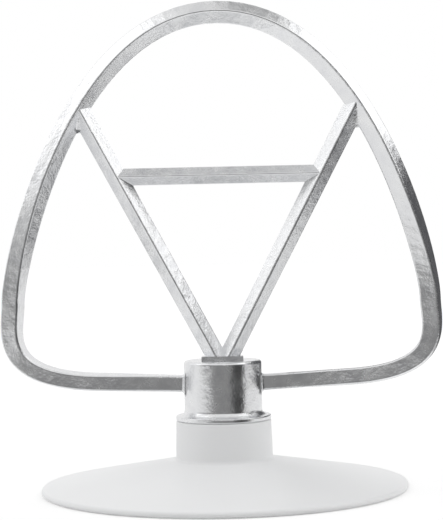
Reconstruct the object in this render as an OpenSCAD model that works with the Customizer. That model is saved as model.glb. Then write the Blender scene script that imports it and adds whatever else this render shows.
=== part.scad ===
// Flat beater for a stand mixer, cast in one piece, with a moulded splash guard clipped on its spigot.
// It stands on the guard's rim, as it is stored: the origin is at the centre of that rim's lower plane.
// +Z runs up the hub to the crown of the loop, X along the loop's width, and the front is -Y.
// All heights of the casting are measured from the seat, the face where the guard meets the flange.

/* [Loop] */
// Width over the outer corners of the loop bar
loop_w = 139.6; // [110:0.1:180]
// Height of the crown's outer edge above the seat
loop_h = 132.8; // [110:0.1:170]
// Side of the square loop bar at the crown
bar_s = 5.4; // [3.5:0.05:7]
// Side of the loop bar at its widest point
bar_side_s = 5.8; // [3.5:0.05:7]
// Side of the loop bar at the hub
bar_arm_s = 5; // [3.5:0.05:7]
// Rounding of the loop bar's edges
bar_edge_r = 0.6; // [0.2:0.05:1]
// Height of the loop's widest point above the seat
widest_h = 37.5; // [32:0.1:50]
// Pull of the crown's curve to the side
crown_pull = 47.5; // [35:0.5:55]
// Pull of the crown's curve down at the widest point
side_pull = 12.5; // [5:0.5:30]
// Pull of the bottom corner down from the widest point
corner_drop = 8; // [4:0.5:14]
// Pull of the bottom corner outward from the arm
corner_pull = 32.5; // [20:0.5:34]
// Distance from the axis at which the arm goes over into the corner
arm_l = 40; // [30:0.5:50]
// Height of the arm's centre line above the seat, where it enters the hub
arm_h = 11.5; // [8:0.1:13]
// Rise of the arm from the hub to the corner
arm_rise = 1.2; // [0:0.1:4]

/* [Twist] */
// Turn of the bar's section on the crown's shoulder, from edge-on at the crown
twist_shoulder = 10; // [0:1:20]
// Turn of the bar's section at the widest point
twist_side = 26; // [10:1:35]
// Turn of the bar's section after the bottom corner
twist_corner = 35; // [20:1:45]
// Turn of the bar's section at the hub, where a flat face is at the front
twist_hub = 44; // [30:1:45]

/* [Inner frame] */
// Height above the seat at which the two struts meet the loop
strut_join_h = 100; // [80:0.5:112]
// Distance of each strut's centre line from the axis, at the hub's top
strut_foot = 1.4; // [0:0.1:6]
// Side of a strut's square section at the loop
strut_top_s = 5.05; // [3.5:0.1:6]
// Side of a strut's square section at the hub
strut_foot_s = 4.65; // [3:0.1:6]
// Depth of a strut from its front edge to its back edge
strut_depth = 6; // [4.5:0.1:7.5]
// Rounding of the strut's edges
strut_edge_r = 0.5; // [0.2:0.05:1]
// Fillet in the corner between each strut and the loop
joint_fillet_r = 2; // [0.5:0.1:2.5]
// Height of the crossbar's centre line above the seat
cross_h = 77.5; // [45:0.5:90]
// Side of the crossbar's square section
cross_s = 4.1; // [2.5:0.1:5.5]
// Rounding of the crossbar's edges
cross_edge_r = 0.4; // [0.2:0.05:0.8]

/* [Hub] */
// Diameter of the hub
hub_d = 24.6; // [21:0.1:34]
// Height of the hub's top above the seat
hub_h = 18.8; // [16:0.1:28]
// Rounding of the hub's top edge
hub_edge_r = 1; // [0.4:0.1:2]
// Diameter of the flange
flange_d = 30.2; // [28:0.1:40]
// Thickness of the flange at its rim
flange_t = 1.5; // [1:0.1:3]
// Rounding of the flange's edges
flange_edge_r = 0.4; // [0.1:0.05:0.5]
// Fillet between the hub and the flange
hub_fillet_r = 1.8; // [0.4:0.1:2.2]
// Fillet round each arm's root on the hub
root_fillet_r = 1.3; // [0.3:0.1:2]
// Length of the raised pad under the struts, along X
pad_l = 13.2; // [11:0.1:16]
// Width of the pad, front to back
pad_w = 6.4; // [5:0.1:9]
// Height of the pad
pad_h = 1.3; // [0.5:0.1:2.5]

/* [Drive] */
// Diameter of the bore for the drive shaft
bore_d = 12.6; // [10:0.1:15]
// Solid metal between the bore's end and the hub's top
bore_top = 5; // [3:0.1:7]
// Chamfer at the bore's mouth
bore_chamfer = 0.6; // [0.2:0.1:1]
// Diameter of the spigot inside the guard's collar
spigot_d = 19; // [17:0.1:21]
// Length of the spigot below the seat
spigot_l = 15; // [11:0.1:18]
// Width of the bayonet slots for the shaft's cross pin
slot_w = 4.2; // [3:0.1:6]
// Length of the slots along the spigot
slot_l = 9; // [6:0.1:10]
// Angle through which the pin turns to lock
slot_turn = 35; // [20:1:50]
// Depth of the groove that holds the guard
groove_depth = 0.8; // [0.4:0.05:1.2]
// Width of the groove
groove_w = 1.8; // [1.2:0.1:2.4]

/* [Splash guard] */
// Height of the guard from its rim to the seat
guard_h = 21.9; // [19:0.1:30]
// Diameter of the collar at its top
collar_d = 30.2; // [28:0.1:40]
// Diameter of the collar at its foot
collar_foot_d = 30.8; // [28:0.1:42]
// Wall of the collar
collar_wall = 2; // [1.2:0.1:2.6]
// Thickness of the collar's closed end
collar_end_t = 2.2; // [1.9:0.1:3]
// Rounding of the collar's top edge
collar_edge_r = 0.6; // [0.2:0.1:1]
// Diameter of the brim
brim_d = 116; // [90:0.5:150]
// Thickness of the brim
brim_t = 1.9; // [1.2:0.1:3]
// Rise of the brim from its rim to the collar's foot
brim_rise = 7.6; // [4:0.1:12]
// Fillet between the collar and the brim
brim_fillet_r = 0.8; // [0.3:0.1:3]
// Clearance between the guard and the spigot
fit_gap = 0.2; // [0.1:0.05:0.4]

/* [Hidden] */
round_n = 96;
corner_n = 3;
crown_n = 34;
bend_n = 26;
arm_n = 4;
root_n = 5;

seat = guard_h;
bar_half = bar_s / sqrt(2) - bar_edge_r * (sqrt(2) - 1);
side_x = loop_w / 2 - (bar_side_s / 2 - bar_edge_r) * sqrt(2) * cos(twist_side) - bar_edge_r;
side_z = seat + widest_h;
crown_z = seat + loop_h - bar_half;
hub_top = seat + hub_h;
arm_in = (bore_d + hub_d) / 4;
arm_out = [arm_l, seat + arm_h + arm_rise];
arm_root = [arm_in, seat + arm_h];
arm_dir = (arm_out - arm_root) / norm(arm_out - arm_root);
arm_foot = arm_root + (hub_d / 2 - 0.3 - arm_in) / arm_dir[0] * arm_dir;
arm_flare = arm_foot + root_fillet_r * arm_dir;

// The loop's centre line in the X-Z plane: crown, bottom corner and arm, for the +X half
function bezier(p, t) =
    pow(1 - t, 3) * p[0] + 3 * pow(1 - t, 2) * t * p[1] + 3 * (1 - t) * t * t * p[2] + pow(t, 3) * p[3];
function slope(p, t) =
    pow(1 - t, 2) * (p[1] - p[0]) + 2 * (1 - t) * t * (p[2] - p[1]) + t * t * (p[3] - p[2]);
crown = [[0, crown_z], [crown_pull, crown_z], [side_x, side_z + side_pull], [side_x, side_z]];
bend = [[side_x, side_z], [side_x, side_z - corner_drop], arm_out + corner_pull * arm_dir, arm_out];

// One station of the half: [x, z], direction, place along the half from 0 at the crown to 3 at the hub,
// and how much the root fillet adds all round
half_path = concat(
    [for (i = [0:crown_n]) let (t = i / crown_n) [bezier(crown, t), slope(crown, t), t, 0]],
    [for (i = [1:bend_n]) let (t = i / bend_n) [bezier(bend, t), slope(bend, t), 1 + t, 0]],
    [for (i = [1:arm_n]) let (t = i / arm_n) [arm_out + t * (arm_flare - arm_out), -arm_dir, 2 + t, 0]],
    [for (i = [1:root_n]) let (a = 90 * i / root_n)
        [arm_flare - root_fillet_r * sin(a) * arm_dir, -arm_dir, 3, root_fillet_r * (1 - cos(a))]],
    [[arm_root, -arm_dir, 3, root_fillet_r]]
);

// The section's turn along the half, from edge-on at the crown to face-on at the hub
function smooth(t) = t * t * (3 - 2 * t);
function between(a, b, t) = a + (b - a) * t;
function twist(u) =
    u < 0.55 ? between(0, twist_shoulder, smooth(u / 0.55)) :
    u < 1 ? between(twist_shoulder, twist_side, smooth((u - 0.55) / 0.45)) :
    u < 2 ? between(twist_side, twist_corner, smooth(u - 1)) :
    between(twist_corner, twist_hub, smooth(u - 2));

// The bar's side along the half
function bar_side(u) =
    u < 1 ? between(bar_s, bar_side_s, smooth(u)) :
    u < 2 ? between(bar_side_s, bar_arm_s, smooth(u - 1)) :
    bar_arm_s;

// A square of side s with rounded corners, standing on a corner, as [angle, distance] pairs
function rounded_square(s, r) = [
    for (k = [0:3])
    for (j = [0:corner_n])
    let (
        a = 90 * k - 45 + 90 * j / corner_n,
        c = (s / 2 - r) * sqrt(2),
        p = [c * cos(90 * k) + r * cos(a), c * sin(90 * k) + r * sin(a)]
    )
    [atan2(p[1], p[0]), norm(p)]
];

// One ring of a bar: centre, outward direction in the X-Z plane, turn, section and flattening front to back
function ring(c, n, turn, section, flat = 1) = [
    for (q = section)
    let (out = q[1] * cos(q[0] + turn), front = q[1] * sin(q[0] + turn))
    [c[0] + out * n[0], -front * flat, c[1] + out * n[1]]
];

// A solid through rings with the same number of points
module skin(rings) {
    m = len(rings);
    n = len(rings[0]);
    sides = [
        for (i = [0:m - 2])
        for (j = [0:n - 1])
        let (a = i * n + j, b = i * n + (j + 1) % n)
        each [[a, a + n, b], [b, a + n, b + n]]
    ];
    first = [for (j = [0:n - 1]) j];
    last = [for (j = [n - 1:-1:0]) (m - 1) * n + j];
    polyhedron(points = [for (r = rings) each r], faces = concat(sides, [first, last]), convexity = 6);
}

// The station on one side of the loop, with side = 1 for +X and -1 for -X
function loop_ring(st, side) =
    let (d = st[1] / norm(st[1]), section = rounded_square(bar_side(st[2]) + 2 * st[3], bar_edge_r))
    ring([side * st[0][0], st[0][1]], [-side * d[1], d[0]], -side * twist(st[2]), section);

module loop() {
    m = len(half_path);
    skin(concat(
        [for (i = [m - 1:-1:0]) loop_ring(half_path[i], -1)],
        [for (i = [1:m - 1]) loop_ring(half_path[i], 1)]
    ));
}

// A straight bar on a corner between two points in the X-Z plane
module bar(p0, p1, s0, s1, r, flat = 1) {
    d = (p1 - p0) / norm(p1 - p0);
    n = [-d[1], d[0]];
    skin([ring(p0, n, 0, rounded_square(s0, r), flat), ring(p1, n, 0, rounded_square(s1, r), flat)]);
}

// The place on the crown's curve at a given height, found by halving
function at_height(z, lo, hi, k) =
    let (mid = (lo + hi) / 2)
    k == 0 ? mid :
    bezier(crown, mid)[1] > z ? at_height(z, mid, hi, k - 1) : at_height(z, lo, mid, k - 1);
join_u = at_height(seat + strut_join_h, 0, 1, 24);
strut_join = bezier(crown, join_u);
strut_foot_p = [strut_foot, hub_top];
strut_dir = (strut_join - strut_foot_p) / norm(strut_join - strut_foot_p);
strut_sink = min(bore_top - 1.5, 3.5);
strut_flat = strut_depth / (strut_top_s * sqrt(2) - 2 * strut_edge_r * (sqrt(2) - 1));
cross_x = strut_foot + (strut_join[0] - strut_foot) * (seat + cross_h - hub_top) / (strut_join[1] - hub_top);

// A point at depth y on two planes through normals na and nb, at distances ca and cb from the joint
function on_both(na, ca, nb, cb, y) =
    let (
        e = ca - na[1] * y,
        f = cb - nb[1] * y,
        det = na[0] * nb[2] - na[2] * nb[0]
    )
    [(e * nb[2] - na[2] * f) / det, y, (na[0] * f - e * nb[0]) / det];

// The fillet in the valley between the loop's inner face and the strut's outer face, front or back,
// which runs out towards the edges at its upper end
module joint_fillet(face) {
    d = slope(crown, join_u) / norm(slope(crown, join_u));
    turn = 135 - face * twist(join_u);
    na = [-d[1] * cos(turn), -face * sin(turn), d[0] * cos(turn)];
    flat_n = [strut_dir[1] * strut_flat, -face, -strut_dir[0] * strut_flat];
    nb = flat_n / norm(flat_n);
    ca = bar_side(join_u) / 2;
    cb = strut_top_s / sqrt(2) * strut_flat / norm(flat_n);
    top = on_both(na, ca, nb, cb, -face * (strut_depth / 2 - strut_edge_r));
    low = on_both(na, ca, nb, cb, 0);
    v = (top - low) / norm(top - low);
    a0 = cross(na, v);
    b0 = cross(nb, v);
    a = a0 * sign(a0 * nb);
    b = b0 * sign(b0 * na);
    half = acos(a * b) / 2;
    e1 = (a + b) / norm(a + b);
    e2 = (a - b) / norm(a - b);
    joint = [strut_join[0], 0, strut_join[1]];
    rings = [
        for (st = [[low - 0.02 * v, joint_fillet_r], [top, joint_fillet_r / 5]])
        concat(
            [joint + st[0] - 0.5 * e1],
            [for (i = [0:4])
                let (phi = (90 - half) * (1 - i / 2))
                joint + st[0] + st[1] * ((1 / sin(half) - cos(phi)) * e1 + sin(phi) * e2)]
        )
    ];
    skin(face > 0 ? rings : [for (r = rings) [for (i = [len(r) - 1:-1:0]) r[i]]]);
}

module inner_frame() {
    for (side = [-1, 1]) {
        root = strut_foot_p - strut_sink * strut_dir;
        bar([side * root[0], root[1]], [side * strut_join[0], strut_join[1]],
            strut_foot_s, strut_top_s, strut_edge_r, strut_flat);
    }
    bar([-cross_x, seat + cross_h], [cross_x, seat + cross_h], cross_s, cross_s, cross_edge_r);
    for (side = [0, 180])
        rotate([0, 0, side])
            for (face = [-1, 1])
                joint_fillet(face);
}

// Points of an arc, for the turned profiles
function arc(x, z, r, from, to, n = 6) =
    [for (i = [0:n]) let (a = from + (to - from) * i / n) [x + r * cos(a), z + r * sin(a)]];

// The hub and its flange, with a fillet between them and rounded edges
module hub() {
    rh = hub_d / 2;
    rf = flange_d / 2;
    ft = seat + flange_t;
    rotate_extrude($fn = round_n)
        polygon(concat(
            [[0, seat]],
            arc(rf - flange_edge_r, seat + flange_edge_r, flange_edge_r, -90, 0, 3),
            arc(rf - flange_edge_r, ft - flange_edge_r, flange_edge_r, 0, 90, 3),
            arc(rh + hub_fillet_r, ft + hub_fillet_r, hub_fillet_r, 270, 180),
            arc(rh - hub_edge_r, hub_top - hub_edge_r, hub_edge_r, 0, 90),
            [[0, hub_top]]
        ));
    translate([-pad_l / 2, -pad_w / 2, hub_top - 0.5])
        cube([pad_l, pad_w, pad_h + 0.5]);
}

// The spigot carries the guard and takes the shaft, with a groove for the guard's snap bead
module spigot() {
    difference() {
        translate([0, 0, seat - spigot_l])
            cylinder(d = spigot_d, h = spigot_l + flange_t / 2, $fn = round_n);
        translate([0, 0, seat - collar_end_t / 2 - groove_w / 2])
            difference() {
                cylinder(d = spigot_d + 4, h = groove_w, $fn = round_n);
                translate([0, 0, -1])
                    cylinder(d = spigot_d - 2 * groove_depth, h = groove_w + 2, $fn = round_n);
            }
    }
}

// The blind bore and the two bayonet slots, which open at the spigot's end
module drive_cut() {
    mouth = seat - spigot_l;
    translate([0, 0, mouth - 1])
        cylinder(d = bore_d, h = hub_top - bore_top - mouth + 1, $fn = round_n);
    translate([0, 0, mouth - 0.01])
        cylinder(d1 = bore_d + 2 * bore_chamfer, d2 = bore_d, h = bore_chamfer, $fn = round_n);
    for (side = [0, 180])
        rotate([0, 0, side]) {
            translate([0, -slot_w / 2, mouth - 1])
                cube([spigot_d, slot_w, slot_l + 1]);
            translate([0, 0, mouth + slot_l - slot_w])
                rotate_extrude(angle = slot_turn, $fn = round_n)
                    square([spigot_d, slot_w]);
        }
}

module beater() {
    color([0.74, 0.75, 0.76])
        difference() {
            union() {
                loop();
                inner_frame();
                hub();
                spigot();
            }
            drive_cut();
        }
}

// The guard is one moulding: a closed collar with a hole for the spigot, and a thin sloping brim
module splash_guard() {
    hole_r = spigot_d / 2 + fit_gap;
    bead_r = hole_r - groove_depth;
    bead_z = seat - collar_end_t / 2;
    bead_h = groove_w / 2 - fit_gap;
    r0 = collar_d / 2;
    r1 = collar_foot_d / 2;
    r2 = brim_d / 2;
    foot_z = brim_t + brim_rise;
    tilt = atan(brim_rise / (r2 - r1));
    t_slope = brim_t / cos(tilt);
    edge = brim_t / 2;
    inner_r = r0 - collar_wall;
    inner_foot_r = r1 - collar_wall;
    color([0.93, 0.93, 0.92])
        rotate_extrude($fn = round_n)
            polygon(concat(
                [
                    [hole_r, seat],
                    [hole_r, bead_z + bead_h],
                    [bead_r, bead_z + bead_h / 3],
                    [bead_r, bead_z - bead_h / 3],
                    [hole_r, bead_z - bead_h],
                    [hole_r, seat - collar_end_t],
                    [inner_r, seat - collar_end_t],
                    [inner_foot_r, foot_z - t_slope],
                    [r2 - edge, 0]
                ],
                arc(r2 - edge, edge, edge, -60, 80),
                [
                    [r1 + brim_fillet_r, foot_z - brim_fillet_r * tan(tilt)],
                    [r1 + brim_fillet_r * 0.3, foot_z + brim_fillet_r * 0.25],
                    [r1, foot_z + brim_fillet_r]
                ],
                arc(r0 - collar_edge_r, seat - collar_edge_r, collar_edge_r, 0, 90, 4)
            ));
}

beater();
splash_guard();
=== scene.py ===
"""Looks of the flat beater and its splash guard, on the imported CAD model."""

import math

import bpy
from mathutils import Matrix, Vector

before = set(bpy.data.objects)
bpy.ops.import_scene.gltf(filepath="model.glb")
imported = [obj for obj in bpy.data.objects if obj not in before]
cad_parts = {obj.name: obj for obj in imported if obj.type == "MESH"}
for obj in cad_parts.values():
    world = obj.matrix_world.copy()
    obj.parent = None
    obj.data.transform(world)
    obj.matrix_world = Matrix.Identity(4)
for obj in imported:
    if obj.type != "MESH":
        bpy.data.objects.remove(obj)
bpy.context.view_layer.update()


# Node helpers
class Tree:
    """Short calls for a node tree: t("ShaderNodeX", socket=value or link, ...) returns the node."""

    def __init__(self, tree):
        self.tree = tree
        self.tree.nodes.clear()

    def __call__(self, kind, *links, **values):
        node = self.tree.nodes.new(kind)
        for key, value in values.items():
            if hasattr(node, key):
                setattr(node, key, value)
            else:
                self.plug(node.inputs[key.replace("_", " ")], value)
        for i, value in enumerate(links):
            if value is not None:
                self.plug(node.inputs[i], value)
        return node

    def plug(self, socket, value):
        if isinstance(value, bpy.types.Node):
            value = value.outputs[0]
        if isinstance(value, bpy.types.NodeSocket):
            self.tree.links.new(value, socket)
        else:
            socket.default_value = value

    def math(self, operation, *links):
        return self("ShaderNodeMath", *links, operation=operation).outputs[0]

    def ramp(self, value, *stops, interpolation="LINEAR"):
        node = self("ShaderNodeValToRGB", value)
        ramp = node.color_ramp
        ramp.interpolation = interpolation
        while len(ramp.elements) < len(stops):
            ramp.elements.new(0.5)
        for element, (place, colour) in zip(ramp.elements, stops):
            element.position = place
            element.color = (*colour, 1) if hasattr(colour, "__len__") else (colour, colour, colour, 1)
        return node.outputs[0]

    def span(self, value, low, high, out_low=0.0, out_high=1.0, kind="SMOOTHSTEP"):
        node = self("ShaderNodeMapRange", value, low, high, out_low, out_high, interpolation_type=kind)
        return node.outputs[0]


def new_material(name):
    material = bpy.data.materials.new(name)
    material.use_nodes = True
    return material, Tree(material.node_tree)


# Materials
def cast_aluminium():
    material, t = new_material("cast_aluminium")
    place = t("ShaderNodeTexCoord").outputs["Object"]
    fine = t("ShaderNodeTexNoise", place, Scale=1900, Detail=3.0, Roughness=0.6).outputs[0]
    coarse = t("ShaderNodeTexNoise", place, Scale=260, Detail=2.0, Roughness=0.5).outputs[0]
    pits = t("ShaderNodeTexVoronoi", place, Scale=1300).outputs[0]
    grain = t.math("ADD", t.math("MULTIPLY", fine, 0.7), t.math("MULTIPLY", pits, 0.3))
    bump = t("ShaderNodeBump", Strength=0.25, Distance=0.0003, Height=grain)
    bump = t("ShaderNodeBump", Strength=0.10, Distance=0.002, Height=coarse, Normal=bump)
    colour = t.ramp(coarse, (0.3, (0.74, 0.745, 0.76)), (0.7, (0.83, 0.835, 0.84)))
    shader = t("ShaderNodeBsdfPrincipled", Base_Color=colour, Metallic=1.0, Normal=bump,
               Roughness=t.span(coarse, 0.3, 0.7, 0.20, 0.28))
    t("ShaderNodeOutputMaterial", shader)
    return material


def moulded_plastic():
    material, t = new_material("white_moulding")
    place = t("ShaderNodeTexCoord").outputs["Object"]
    fine = t("ShaderNodeTexNoise", place, Scale=1500, Detail=2.0).outputs[0]
    broad = t("ShaderNodeTexNoise", place, Scale=30, Detail=2.0).outputs[0]
    bump = t("ShaderNodeBump", Strength=0.04, Distance=0.0002, Height=fine)
    colour = t.ramp(broad, (0.3, (0.885, 0.89, 0.895)), (0.7, (0.90, 0.905, 0.91)))
    shader = t("ShaderNodeBsdfPrincipled", Base_Color=colour, Normal=bump, Roughness=0.38)
    t("ShaderNodeOutputMaterial", shader)
    return material


# Smooth shading on the CAD nodes
def smooth_by_angle(piece, degrees):
    """Rounds the shading over small facets and keeps the real edges; the mesh itself stays as packed."""
    tree = bpy.data.node_groups.new("smooth_by_angle", "GeometryNodeTree")
    tree.interface.new_socket("Geometry", in_out="INPUT", socket_type="NodeSocketGeometry")
    tree.interface.new_socket("Geometry", in_out="OUTPUT", socket_type="NodeSocketGeometry")
    t = Tree(tree)
    start = t("NodeGroupInput")
    angle = t("GeometryNodeInputMeshEdgeAngle").outputs["Unsigned Angle"]
    soft = t("FunctionNodeCompare", operation="LESS_EQUAL")
    t.plug(soft.inputs[0], angle)
    soft.inputs[1].default_value = math.radians(degrees)
    faces = t("GeometryNodeSetShadeSmooth", domain="FACE")
    t.plug(faces.inputs["Geometry"], start.outputs[0])
    faces.inputs["Shade Smooth"].default_value = True
    edges = t("GeometryNodeSetShadeSmooth", domain="EDGE")
    t.plug(edges.inputs["Geometry"], faces)
    t.plug(edges.inputs["Shade Smooth"], soft.outputs[0])
    end = t("NodeGroupOutput")
    t.plug(end.inputs[0], edges)
    piece.modifiers.new("smooth", "NODES").node_group = tree
    weighted = piece.modifiers.new("weighted", "WEIGHTED_NORMAL")
    weighted.keep_sharp = True
    weighted.weight = 100


for name, make, angle in (("beater", cast_aluminium, 34), ("splash_guard", moulded_plastic, 34)):
    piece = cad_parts[name]
    piece.data.materials.clear()
    piece.data.materials.append(make())
    smooth_by_angle(piece, angle)


# Floor
def floor():
    side = 6.0
    mesh = bpy.data.meshes.new("floor")
    mesh.from_pydata([(-side, -side, 0), (side, -side, 0), (side, side, 0), (-side, side, 0)], [],
                     [(0, 1, 2, 3)])
    piece = bpy.data.objects.new("floor", mesh)
    bpy.context.collection.objects.link(piece)
    piece.location.z = -0.0001
    material, t = new_material("pale_floor")
    path = t("ShaderNodeLightPath")
    paper = t("ShaderNodeBsdfDiffuse", Color=(0.80, 0.80, 0.80, 1))
    lift = t("ShaderNodeEmission", Strength=t.math("MULTIPLY", path.outputs["Is Camera Ray"], 0.27))
    t("ShaderNodeOutputMaterial", t("ShaderNodeAddShader", paper, lift))
    mesh.materials.append(material)
    piece.visible_glossy = False
    return piece


floor()


# Studio
def studio():
    """A white studio with a darker camera side, given by compass and height of the direction, in degrees."""
    world = bpy.data.worlds.new("studio")
    bpy.context.scene.world = world
    world.use_nodes = True
    t = Tree(world.node_tree)
    way = t("ShaderNodeSeparateXYZ", t("ShaderNodeTexCoord").outputs["Generated"])
    x, y, z = way.outputs
    compass = t.math("DEGREES", t.math("ARCTAN2", x, t.math("MULTIPLY", y, -1.0)))
    height = t.math("DEGREES", t.math("ARCSINE", z))

    def window(value, low, high, soft):
        up = t.span(value, low - soft, low + soft)
        down = t.span(value, high - soft, high + soft, 1.0, 0.0)
        return t.math("MULTIPLY", up, down)

    def panel(under, level, compass_range, height_range, soft=5.0):
        share = t.math("MULTIPLY", window(compass, *compass_range, soft), window(height, *height_range, soft))
        kept = t.math("MULTIPLY", under, t.math("SUBTRACT", 1.0, share))
        return t.math("ADD", kept, t.math("MULTIPLY", share, level))

    level = t.span(height, -60, -30, 1.08, 0.95)
    level = panel(level, 0.80, (-400, 400), (68, 200), 12)
    level = panel(level, 1.60, (-112, -76), (18, 64))
    level = panel(level, 1.50, (58, 132), (22, 58))
    level = panel(level, 0.38, (96, 172), (59, 80), 4)
    level = panel(level, 0.45, (-76, -52), (0, 24), 8)
    level = panel(level, 0.26, (-55, 66), (-36, 24), 6)
    level = panel(level, 0.05, (28, 66), (-30, 22), 6)
    level = panel(level, 0.95, (-70, -36), (-50, -5), 4)
    path = t("ShaderNodeLightPath")
    seen = path.outputs["Is Camera Ray"]
    level = t.math("ADD", t.math("MULTIPLY", level, t.math("SUBTRACT", 1.0, seen)), seen)
    t("ShaderNodeOutputWorld", t("ShaderNodeBackground", Color=(1, 1, 1, 1), Strength=level))


studio()


# Flag
def flag():
    """A dark curved card to the right and behind, which only the metal's reflections see."""
    spots = [
        (0.155, -0.035), (0.158, -0.010), (0.156, 0.015), (0.146, 0.036),
        (0.125, 0.048), (0.095, 0.052), (0.060, 0.052), (0.022, 0.050),
    ]
    low, high = 0.030, 0.142
    verts = [(x, y, z) for z in (low, high) for x, y in spots]
    n = len(spots)
    mesh = bpy.data.meshes.new("flag")
    mesh.from_pydata(verts, [], [(i, i + 1, n + i + 1, n + i) for i in range(n - 1)])
    piece = bpy.data.objects.new("flag", mesh)
    bpy.context.collection.objects.link(piece)
    material, t = new_material("black_card")
    t("ShaderNodeOutputMaterial", t("ShaderNodeEmission", Color=(0.10, 0.10, 0.105, 1), Strength=1.0))
    mesh.materials.append(material)
    piece.visible_camera = piece.visible_diffuse = piece.visible_shadow = False


flag()


# Camera
def camera():
    """The photograph's view: level with the hub, looking along +Y and a little down, rolled by about one degree."""
    data = bpy.data.cameras.new("camera")
    piece = bpy.data.objects.new("camera", data)
    bpy.context.collection.objects.link(piece)
    data.sensor_fit = "AUTO"
    data.sensor_width = 36.0
    data.lens = 1600.0 * 36.0 / 520.0
    data.clip_start, data.clip_end = 0.01, 50.0
    pitch, yaw, roll = math.radians(0.5013), math.radians(-0.5), math.radians(1.2)
    pivot = Matrix.Translation(Vector((0, 0, 0.040)))
    turned = pivot @ Matrix.Rotation(-roll, 4, "Y") @ pivot.inverted() @ Matrix.Rotation(yaw, 4, "Z")
    stand = Matrix.Translation(Vector((-0.00035, -0.508, 0.0769))) @ Matrix.Rotation(math.pi / 2 - pitch, 4, "X")
    piece.matrix_world = turned.inverted() @ stand
    bpy.context.scene.camera = piece


camera()

scene = bpy.context.scene
scene.view_settings.view_transform = "Standard"

bpy.context.view_layer.update()
